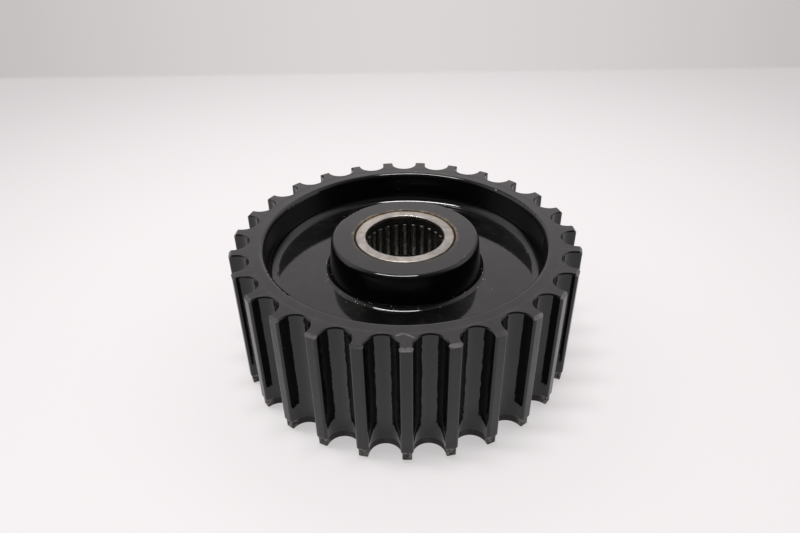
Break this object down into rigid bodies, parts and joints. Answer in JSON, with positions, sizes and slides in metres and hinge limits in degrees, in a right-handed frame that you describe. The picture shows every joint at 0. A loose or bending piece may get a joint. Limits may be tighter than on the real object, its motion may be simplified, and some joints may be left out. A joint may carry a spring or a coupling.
{
  "type": "timing belt pulley",
  "caption": "Free-running toothed belt pulley without flanges: round-grooved rim, recessed web and a hub with needle bearings pressed in.",
  "frame": {"origin": "centre of the lower face, on the axis of rotation", "axes": "+Z along the axis of rotation, from the end where the teeth are drawn in to the end where they keep their full profile; one tooth stands at -Y"},
  "size_m": [0.1174, 0.1173, 0.0443],
  "materials": {
    "black_body": "gloss black, hard and thin, over a machined body",
    "bearing_steel": "ground hardened steel, satin",
    "needle_steel": "polished hardened steel with a film of oil",
    "cage_dark": "dark phosphated sheet steel, oiled"
  },
  "bodies": {
    "pulley": {"pulley_body": "black_body", "upper_bearing_ring": "bearing_steel", "lower_bearing_ring": "bearing_steel"},
    "upper_bearing_cage": {"upper_bearing_cage": "cage_dark"},
    "upper_needle_01": {"upper_needle_01": "needle_steel"},
    "upper_needle_02": {"upper_needle_02": "needle_steel"},
    "upper_needle_03": {"upper_needle_03": "needle_steel"},
    "upper_needle_04": {"upper_needle_04": "needle_steel"},
    "upper_needle_05": {"upper_needle_05": "needle_steel"},
    "upper_needle_06": {"upper_needle_06": "needle_steel"},
    "upper_needle_07": {"upper_needle_07": "needle_steel"},
    "upper_needle_08": {"upper_needle_08": "needle_steel"},
    "upper_needle_09": {"upper_needle_09": "needle_steel"},
    "upper_needle_10": {"upper_needle_10": "needle_steel"},
    "upper_needle_11": {"upper_needle_11": "needle_steel"},
    "upper_needle_12": {"upper_needle_12": "needle_steel"},
    "upper_needle_13": {"upper_needle_13": "needle_steel"},
    "upper_needle_14": {"upper_needle_14": "needle_steel"},
    "upper_needle_15": {"upper_needle_15": "needle_steel"},
    "upper_needle_16": {"upper_needle_16": "needle_steel"},
    "upper_needle_17": {"upper_needle_17": "needle_steel"},
    "upper_needle_18": {"upper_needle_18": "needle_steel"},
    "upper_needle_19": {"upper_needle_19": "needle_steel"},
    "upper_needle_20": {"upper_needle_20": "needle_steel"},
    "upper_needle_21": {"upper_needle_21": "needle_steel"},
    "upper_needle_22": {"upper_needle_22": "needle_steel"},
    "upper_needle_23": {"upper_needle_23": "needle_steel"},
    "upper_needle_24": {"upper_needle_24": "needle_steel"},
    "upper_needle_25": {"upper_needle_25": "needle_steel"},
    "upper_needle_26": {"upper_needle_26": "needle_steel"},
    "upper_needle_27": {"upper_needle_27": "needle_steel"},
    "lower_bearing_cage": {"lower_bearing_cage": "cage_dark"},
    "lower_needle_01": {"lower_needle_01": "needle_steel"},
    "lower_needle_02": {"lower_needle_02": "needle_steel"},
    "lower_needle_03": {"lower_needle_03": "needle_steel"},
    "lower_needle_04": {"lower_needle_04": "needle_steel"},
    "lower_needle_05": {"lower_needle_05": "needle_steel"},
    "lower_needle_06": {"lower_needle_06": "needle_steel"},
    "lower_needle_07": {"lower_needle_07": "needle_steel"},
    "lower_needle_08": {"lower_needle_08": "needle_steel"},
    "lower_needle_09": {"lower_needle_09": "needle_steel"},
    "lower_needle_10": {"lower_needle_10": "needle_steel"},
    "lower_needle_11": {"lower_needle_11": "needle_steel"},
    "lower_needle_12": {"lower_needle_12": "needle_steel"},
    "lower_needle_13": {"lower_needle_13": "needle_steel"},
    "lower_needle_14": {"lower_needle_14": "needle_steel"},
    "lower_needle_15": {"lower_needle_15": "needle_steel"},
    "lower_needle_16": {"lower_needle_16": "needle_steel"},
    "lower_needle_17": {"lower_needle_17": "needle_steel"},
    "lower_needle_18": {"lower_needle_18": "needle_steel"},
    "lower_needle_19": {"lower_needle_19": "needle_steel"},
    "lower_needle_20": {"lower_needle_20": "needle_steel"},
    "lower_needle_21": {"lower_needle_21": "needle_steel"},
    "lower_needle_22": {"lower_needle_22": "needle_steel"},
    "lower_needle_23": {"lower_needle_23": "needle_steel"},
    "lower_needle_24": {"lower_needle_24": "needle_steel"},
    "lower_needle_25": {"lower_needle_25": "needle_steel"},
    "lower_needle_26": {"lower_needle_26": "needle_steel"},
    "lower_needle_27": {"lower_needle_27": "needle_steel"}
  },
  "joints": [
    {"name": "upper_cage_spin", "type": "hinge", "parent": "pulley", "child": "upper_bearing_cage", "pos_m": [0, 0, 0.0343], "axis": [0, 0, 1], "continuous": true},
    {"name": "upper_needle_01_spin", "type": "hinge", "parent": "upper_bearing_cage", "child": "upper_needle_01", "pos_m": [0, 0.01425, 0.0343], "axis": [0, 0, 1], "continuous": true},
    {"name": "upper_needle_02_spin", "type": "hinge", "parent": "upper_bearing_cage", "child": "upper_needle_02", "pos_m": [-0.00329, 0.01387, 0.0343], "axis": [0, 0, 1], "continuous": true},
    {"name": "upper_needle_03_spin", "type": "hinge", "parent": "upper_bearing_cage", "child": "upper_needle_03", "pos_m": [-0.00639, 0.01273, 0.0343], "axis": [0, 0, 1], "continuous": true},
    {"name": "upper_needle_04_spin", "type": "hinge", "parent": "upper_bearing_cage", "child": "upper_needle_04", "pos_m": [-0.00916, 0.01092, 0.0343], "axis": [0, 0, 1], "continuous": true},
    {"name": "upper_needle_05_spin", "type": "hinge", "parent": "upper_bearing_cage", "child": "upper_needle_05", "pos_m": [-0.01143, 0.00851, 0.0343], "axis": [0, 0, 1], "continuous": true},
    {"name": "upper_needle_06_spin", "type": "hinge", "parent": "upper_bearing_cage", "child": "upper_needle_06", "pos_m": [-0.01308, 0.00564, 0.0343], "axis": [0, 0, 1], "continuous": true},
    {"name": "upper_needle_07_spin", "type": "hinge", "parent": "upper_bearing_cage", "child": "upper_needle_07", "pos_m": [-0.01403, 0.00247, 0.0343], "axis": [0, 0, 1], "continuous": true},
    {"name": "upper_needle_08_spin", "type": "hinge", "parent": "upper_bearing_cage", "child": "upper_needle_08", "pos_m": [-0.01423, -0.00083, 0.0343], "axis": [0, 0, 1], "continuous": true},
    {"name": "upper_needle_09_spin", "type": "hinge", "parent": "upper_bearing_cage", "child": "upper_needle_09", "pos_m": [-0.01365, -0.00409, 0.0343], "axis": [0, 0, 1], "continuous": true},
    {"name": "upper_needle_10_spin", "type": "hinge", "parent": "upper_bearing_cage", "child": "upper_needle_10", "pos_m": [-0.01234, -0.00713, 0.0343], "axis": [0, 0, 1], "continuous": true},
    {"name": "upper_needle_11_spin", "type": "hinge", "parent": "upper_bearing_cage", "child": "upper_needle_11", "pos_m": [-0.01036, -0.00978, 0.0343], "axis": [0, 0, 1], "continuous": true},
    {"name": "upper_needle_12_spin", "type": "hinge", "parent": "upper_bearing_cage", "child": "upper_needle_12", "pos_m": [-0.00783, -0.01191, 0.0343], "axis": [0, 0, 1], "continuous": true},
    {"name": "upper_needle_13_spin", "type": "hinge", "parent": "upper_bearing_cage", "child": "upper_needle_13", "pos_m": [-0.00487, -0.01339, 0.0343], "axis": [0, 0, 1], "continuous": true},
    {"name": "upper_needle_14_spin", "type": "hinge", "parent": "upper_bearing_cage", "child": "upper_needle_14", "pos_m": [-0.00165, -0.01415, 0.0343], "axis": [0, 0, 1], "continuous": true},
    {"name": "upper_needle_15_spin", "type": "hinge", "parent": "upper_bearing_cage", "child": "upper_needle_15", "pos_m": [0.00165, -0.01415, 0.0343], "axis": [0, 0, 1], "continuous": true},
    {"name": "upper_needle_16_spin", "type": "hinge", "parent": "upper_bearing_cage", "child": "upper_needle_16", "pos_m": [0.00487, -0.01339, 0.0343], "axis": [0, 0, 1], "continuous": true},
    {"name": "upper_needle_17_spin", "type": "hinge", "parent": "upper_bearing_cage", "child": "upper_needle_17", "pos_m": [0.00783, -0.01191, 0.0343], "axis": [0, 0, 1], "continuous": true},
    {"name": "upper_needle_18_spin", "type": "hinge", "parent": "upper_bearing_cage", "child": "upper_needle_18", "pos_m": [0.01036, -0.00978, 0.0343], "axis": [0, 0, 1], "continuous": true},
    {"name": "upper_needle_19_spin", "type": "hinge", "parent": "upper_bearing_cage", "child": "upper_needle_19", "pos_m": [0.01234, -0.00713, 0.0343], "axis": [0, 0, 1], "continuous": true},
    {"name": "upper_needle_20_spin", "type": "hinge", "parent": "upper_bearing_cage", "child": "upper_needle_20", "pos_m": [0.01365, -0.00409, 0.0343], "axis": [0, 0, 1], "continuous": true},
    {"name": "upper_needle_21_spin", "type": "hinge", "parent": "upper_bearing_cage", "child": "upper_needle_21", "pos_m": [0.01423, -0.00083, 0.0343], "axis": [0, 0, 1], "continuous": true},
    {"name": "upper_needle_22_spin", "type": "hinge", "parent": "upper_bearing_cage", "child": "upper_needle_22", "pos_m": [0.01403, 0.00247, 0.0343], "axis": [0, 0, 1], "continuous": true},
    {"name": "upper_needle_23_spin", "type": "hinge", "parent": "upper_bearing_cage", "child": "upper_needle_23", "pos_m": [0.01308, 0.00564, 0.0343], "axis": [0, 0, 1], "continuous": true},
    {"name": "upper_needle_24_spin", "type": "hinge", "parent": "upper_bearing_cage", "child": "upper_needle_24", "pos_m": [0.01143, 0.00851, 0.0343], "axis": [0, 0, 1], "continuous": true},
    {"name": "upper_needle_25_spin", "type": "hinge", "parent": "upper_bearing_cage", "child": "upper_needle_25", "pos_m": [0.00916, 0.01092, 0.0343], "axis": [0, 0, 1], "continuous": true},
    {"name": "upper_needle_26_spin", "type": "hinge", "parent": "upper_bearing_cage", "child": "upper_needle_26", "pos_m": [0.00639, 0.01273, 0.0343], "axis": [0, 0, 1], "continuous": true},
    {"name": "upper_needle_27_spin", "type": "hinge", "parent": "upper_bearing_cage", "child": "upper_needle_27", "pos_m": [0.00329, 0.01387, 0.0343], "axis": [0, 0, 1], "continuous": true},
    {"name": "lower_cage_spin", "type": "hinge", "parent": "pulley", "child": "lower_bearing_cage", "pos_m": [0, 0, 0.01], "axis": [0, 0, 1], "continuous": true},
    {"name": "lower_needle_01_spin", "type": "hinge", "parent": "lower_bearing_cage", "child": "lower_needle_01", "pos_m": [-0.00165, 0.01415, 0.01], "axis": [0, 0, 1], "continuous": true},
    {"name": "lower_needle_02_spin", "type": "hinge", "parent": "lower_bearing_cage", "child": "lower_needle_02", "pos_m": [-0.00487, 0.01339, 0.01], "axis": [0, 0, 1], "continuous": true},
    {"name": "lower_needle_03_spin", "type": "hinge", "parent": "lower_bearing_cage", "child": "lower_needle_03", "pos_m": [-0.00783, 0.01191, 0.01], "axis": [0, 0, 1], "continuous": true},
    {"name": "lower_needle_04_spin", "type": "hinge", "parent": "lower_bearing_cage", "child": "lower_needle_04", "pos_m": [-0.01036, 0.00978, 0.01], "axis": [0, 0, 1], "continuous": true},
    {"name": "lower_needle_05_spin", "type": "hinge", "parent": "lower_bearing_cage", "child": "lower_needle_05", "pos_m": [-0.01234, 0.00713, 0.01], "axis": [0, 0, 1], "continuous": true},
    {"name": "lower_needle_06_spin", "type": "hinge", "parent": "lower_bearing_cage", "child": "lower_needle_06", "pos_m": [-0.01365, 0.00409, 0.01], "axis": [0, 0, 1], "continuous": true},
    {"name": "lower_needle_07_spin", "type": "hinge", "parent": "lower_bearing_cage", "child": "lower_needle_07", "pos_m": [-0.01423, 0.00083, 0.01], "axis": [0, 0, 1], "continuous": true},
    {"name": "lower_needle_08_spin", "type": "hinge", "parent": "lower_bearing_cage", "child": "lower_needle_08", "pos_m": [-0.01403, -0.00247, 0.01], "axis": [0, 0, 1], "continuous": true},
    {"name": "lower_needle_09_spin", "type": "hinge", "parent": "lower_bearing_cage", "child": "lower_needle_09", "pos_m": [-0.01308, -0.00564, 0.01], "axis": [0, 0, 1], "continuous": true},
    {"name": "lower_needle_10_spin", "type": "hinge", "parent": "lower_bearing_cage", "child": "lower_needle_10", "pos_m": [-0.01143, -0.00851, 0.01], "axis": [0, 0, 1], "continuous": true},
    {"name": "lower_needle_11_spin", "type": "hinge", "parent": "lower_bearing_cage", "child": "lower_needle_11", "pos_m": [-0.00916, -0.01092, 0.01], "axis": [0, 0, 1], "continuous": true},
    {"name": "lower_needle_12_spin", "type": "hinge", "parent": "lower_bearing_cage", "child": "lower_needle_12", "pos_m": [-0.00639, -0.01273, 0.01], "axis": [0, 0, 1], "continuous": true},
    {"name": "lower_needle_13_spin", "type": "hinge", "parent": "lower_bearing_cage", "child": "lower_needle_13", "pos_m": [-0.00329, -0.01387, 0.01], "axis": [0, 0, 1], "continuous": true},
    {"name": "lower_needle_14_spin", "type": "hinge", "parent": "lower_bearing_cage", "child": "lower_needle_14", "pos_m": [0, -0.01425, 0.01], "axis": [0, 0, 1], "continuous": true},
    {"name": "lower_needle_15_spin", "type": "hinge", "parent": "lower_bearing_cage", "child": "lower_needle_15", "pos_m": [0.00329, -0.01387, 0.01], "axis": [0, 0, 1], "continuous": true},
    {"name": "lower_needle_16_spin", "type": "hinge", "parent": "lower_bearing_cage", "child": "lower_needle_16", "pos_m": [0.00639, -0.01273, 0.01], "axis": [0, 0, 1], "continuous": true},
    {"name": "lower_needle_17_spin", "type": "hinge", "parent": "lower_bearing_cage", "child": "lower_needle_17", "pos_m": [0.00916, -0.01092, 0.01], "axis": [0, 0, 1], "continuous": true},
    {"name": "lower_needle_18_spin", "type": "hinge", "parent": "lower_bearing_cage", "child": "lower_needle_18", "pos_m": [0.01143, -0.00851, 0.01], "axis": [0, 0, 1], "continuous": true},
    {"name": "lower_needle_19_spin", "type": "hinge", "parent": "lower_bearing_cage", "child": "lower_needle_19", "pos_m": [0.01308, -0.00564, 0.01], "axis": [0, 0, 1], "continuous": true},
    {"name": "lower_needle_20_spin", "type": "hinge", "parent": "lower_bearing_cage", "child": "lower_needle_20", "pos_m": [0.01403, -0.00247, 0.01], "axis": [0, 0, 1], "continuous": true},
    {"name": "lower_needle_21_spin", "type": "hinge", "parent": "lower_bearing_cage", "child": "lower_needle_21", "pos_m": [0.01423, 0.00083, 0.01], "axis": [0, 0, 1], "continuous": true},
    {"name": "lower_needle_22_spin", "type": "hinge", "parent": "lower_bearing_cage", "child": "lower_needle_22", "pos_m": [0.01365, 0.00409, 0.01], "axis": [0, 0, 1], "continuous": true},
    {"name": "lower_needle_23_spin", "type": "hinge", "parent": "lower_bearing_cage", "child": "lower_needle_23", "pos_m": [0.01234, 0.00713, 0.01], "axis": [0, 0, 1], "continuous": true},
    {"name": "lower_needle_24_spin", "type": "hinge", "parent": "lower_bearing_cage", "child": "lower_needle_24", "pos_m": [0.01036, 0.00978, 0.01], "axis": [0, 0, 1], "continuous": true},
    {"name": "lower_needle_25_spin", "type": "hinge", "parent": "lower_bearing_cage", "child": "lower_needle_25", "pos_m": [0.00783, 0.01191, 0.01], "axis": [0, 0, 1], "continuous": true},
    {"name": "lower_needle_26_spin", "type": "hinge", "parent": "lower_bearing_cage", "child": "lower_needle_26", "pos_m": [0.00487, 0.01339, 0.01], "axis": [0, 0, 1], "continuous": true},
    {"name": "lower_needle_27_spin", "type": "hinge", "parent": "lower_bearing_cage", "child": "lower_needle_27", "pos_m": [0.00165, 0.01415, 0.01], "axis": [0, 0, 1], "continuous": true}
  ],
  "couplings": [
    {"joint": "upper_needle_01_spin", "follows": "upper_cage_spin", "ratio": -12.4},
    {"joint": "upper_needle_02_spin", "follows": "upper_cage_spin", "ratio": -12.4},
    {"joint": "upper_needle_03_spin", "follows": "upper_cage_spin", "ratio": -12.4},
    {"joint": "upper_needle_04_spin", "follows": "upper_cage_spin", "ratio": -12.4},
    {"joint": "upper_needle_05_spin", "follows": "upper_cage_spin", "ratio": -12.4},
    {"joint": "upper_needle_06_spin", "follows": "upper_cage_spin", "ratio": -12.4},
    {"joint": "upper_needle_07_spin", "follows": "upper_cage_spin", "ratio": -12.4},
    {"joint": "upper_needle_08_spin", "follows": "upper_cage_spin", "ratio": -12.4},
    {"joint": "upper_needle_09_spin", "follows": "upper_cage_spin", "ratio": -12.4},
    {"joint": "upper_needle_10_spin", "follows": "upper_cage_spin", "ratio": -12.4},
    {"joint": "upper_needle_11_spin", "follows": "upper_cage_spin", "ratio": -12.4},
    {"joint": "upper_needle_12_spin", "follows": "upper_cage_spin", "ratio": -12.4},
    {"joint": "upper_needle_13_spin", "follows": "upper_cage_spin", "ratio": -12.4},
    {"joint": "upper_needle_14_spin", "follows": "upper_cage_spin", "ratio": -12.4},
    {"joint": "upper_needle_15_spin", "follows": "upper_cage_spin", "ratio": -12.4},
    {"joint": "upper_needle_16_spin", "follows": "upper_cage_spin", "ratio": -12.4},
    {"joint": "upper_needle_17_spin", "follows": "upper_cage_spin", "ratio": -12.4},
    {"joint": "upper_needle_18_spin", "follows": "upper_cage_spin", "ratio": -12.4},
    {"joint": "upper_needle_19_spin", "follows": "upper_cage_spin", "ratio": -12.4},
    {"joint": "upper_needle_20_spin", "follows": "upper_cage_spin", "ratio": -12.4},
    {"joint": "upper_needle_21_spin", "follows": "upper_cage_spin", "ratio": -12.4},
    {"joint": "upper_needle_22_spin", "follows": "upper_cage_spin", "ratio": -12.4},
    {"joint": "upper_needle_23_spin", "follows": "upper_cage_spin", "ratio": -12.4},
    {"joint": "upper_needle_24_spin", "follows": "upper_cage_spin", "ratio": -12.4},
    {"joint": "upper_needle_25_spin", "follows": "upper_cage_spin", "ratio": -12.4},
    {"joint": "upper_needle_26_spin", "follows": "upper_cage_spin", "ratio": -12.4},
    {"joint": "upper_needle_27_spin", "follows": "upper_cage_spin", "ratio": -12.4},
    {"joint": "lower_needle_01_spin", "follows": "lower_cage_spin", "ratio": -12.4},
    {"joint": "lower_needle_02_spin", "follows": "lower_cage_spin", "ratio": -12.4},
    {"joint": "lower_needle_03_spin", "follows": "lower_cage_spin", "ratio": -12.4},
    {"joint": "lower_needle_04_spin", "follows": "lower_cage_spin", "ratio": -12.4},
    {"joint": "lower_needle_05_spin", "follows": "lower_cage_spin", "ratio": -12.4},
    {"joint": "lower_needle_06_spin", "follows": "lower_cage_spin", "ratio": -12.4},
    {"joint": "lower_needle_07_spin", "follows": "lower_cage_spin", "ratio": -12.4},
    {"joint": "lower_needle_08_spin", "follows": "lower_cage_spin", "ratio": -12.4},
    {"joint": "lower_needle_09_spin", "follows": "lower_cage_spin", "ratio": -12.4},
    {"joint": "lower_needle_10_spin", "follows": "lower_cage_spin", "ratio": -12.4},
    {"joint": "lower_needle_11_spin", "follows": "lower_cage_spin", "ratio": -12.4},
    {"joint": "lower_needle_12_spin", "follows": "lower_cage_spin", "ratio": -12.4},
    {"joint": "lower_needle_13_spin", "follows": "lower_cage_spin", "ratio": -12.4},
    {"joint": "lower_needle_14_spin", "follows": "lower_cage_spin", "ratio": -12.4},
    {"joint": "lower_needle_15_spin", "follows": "lower_cage_spin", "ratio": -12.4},
    {"joint": "lower_needle_16_spin", "follows": "lower_cage_spin", "ratio": -12.4},
    {"joint": "lower_needle_17_spin", "follows": "lower_cage_spin", "ratio": -12.4},
    {"joint": "lower_needle_18_spin", "follows": "lower_cage_spin", "ratio": -12.4},
    {"joint": "lower_needle_19_spin", "follows": "lower_cage_spin", "ratio": -12.4},
    {"joint": "lower_needle_20_spin", "follows": "lower_cage_spin", "ratio": -12.4},
    {"joint": "lower_needle_21_spin", "follows": "lower_cage_spin", "ratio": -12.4},
    {"joint": "lower_needle_22_spin", "follows": "lower_cage_spin", "ratio": -12.4},
    {"joint": "lower_needle_23_spin", "follows": "lower_cage_spin", "ratio": -12.4},
    {"joint": "lower_needle_24_spin", "follows": "lower_cage_spin", "ratio": -12.4},
    {"joint": "lower_needle_25_spin", "follows": "lower_cage_spin", "ratio": -12.4},
    {"joint": "lower_needle_26_spin", "follows": "lower_cage_spin", "ratio": -12.4},
    {"joint": "lower_needle_27_spin", "follows": "lower_cage_spin", "ratio": -12.4}
  ]
}
